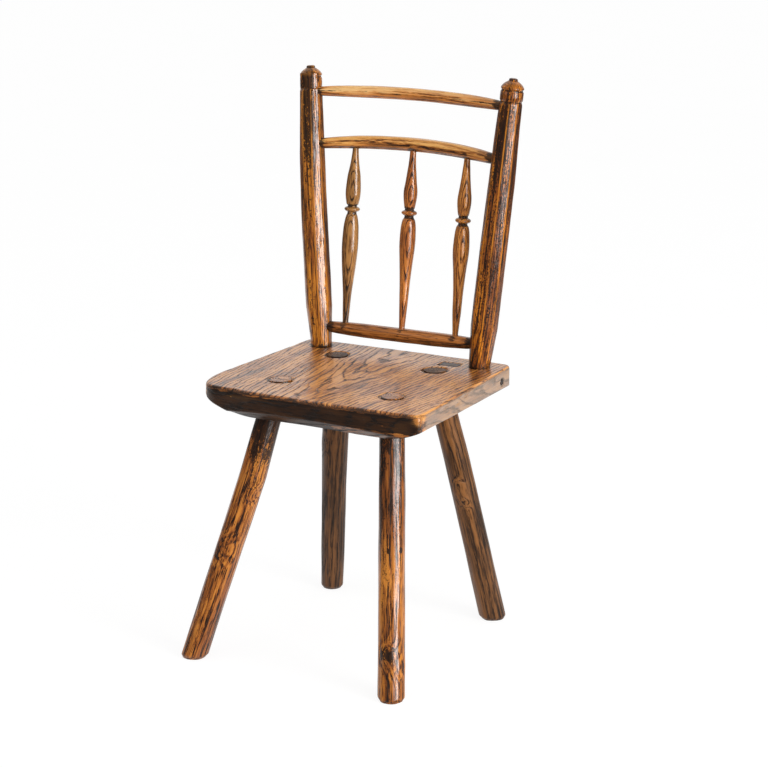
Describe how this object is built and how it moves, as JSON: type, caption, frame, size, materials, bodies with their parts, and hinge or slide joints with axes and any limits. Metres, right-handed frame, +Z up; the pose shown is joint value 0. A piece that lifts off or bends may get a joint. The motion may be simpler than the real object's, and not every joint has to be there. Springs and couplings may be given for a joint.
{
  "type": "windsor side chair",
  "caption": "Staked wooden side chair with a thick plank seat, splayed round legs, octagonal back posts, slim bent rails and turned spindles.",
  "frame": {"origin": "centre of the chair's bounding box, on the floor", "axes": "+Z up, the chair's front towards -Y, +X to the viewer's right seen from the front"},
  "size_m": [0.4077, 0.4311, 0.9055],
  "materials": {
    "seat_wood": "worn wax polish over dark oiled ash, ridged grain",
    "patch_wood": "worn wax polish",
    "leg_wood": "glossy wax polish, orange brown with dark streaks",
    "wedge_wood": "worn end grain",
    "post_wood": "glossy wax polish, honey brown with near-black streaks",
    "peg_wood": "dark end grain",
    "rail_wood": "waxed honey brown",
    "spindle_wood": "glossy wax polish, orange brown"
  },
  "bodies": {
    "root": {"seat": "seat_wood", "seat_patch": "patch_wood", "leg_front_left": "leg_wood", "leg_front_right": "leg_wood", "leg_back_left": "leg_wood", "leg_back_right": "leg_wood", "wedge_front_left": "wedge_wood", "wedge_front_right": "wedge_wood", "wedge_back_left": "wedge_wood", "wedge_back_right": "wedge_wood", "post_left": "post_wood", "post_right": "post_wood", "seat_peg_left": "peg_wood", "seat_peg_right": "peg_wood", "top_rail": "rail_wood", "middle_rail": "rail_wood", "bottom_rail": "rail_wood", "spindle_left": "spindle_wood", "spindle_middle": "spindle_wood", "spindle_right": "spindle_wood"}
  },
  "joints": []
}
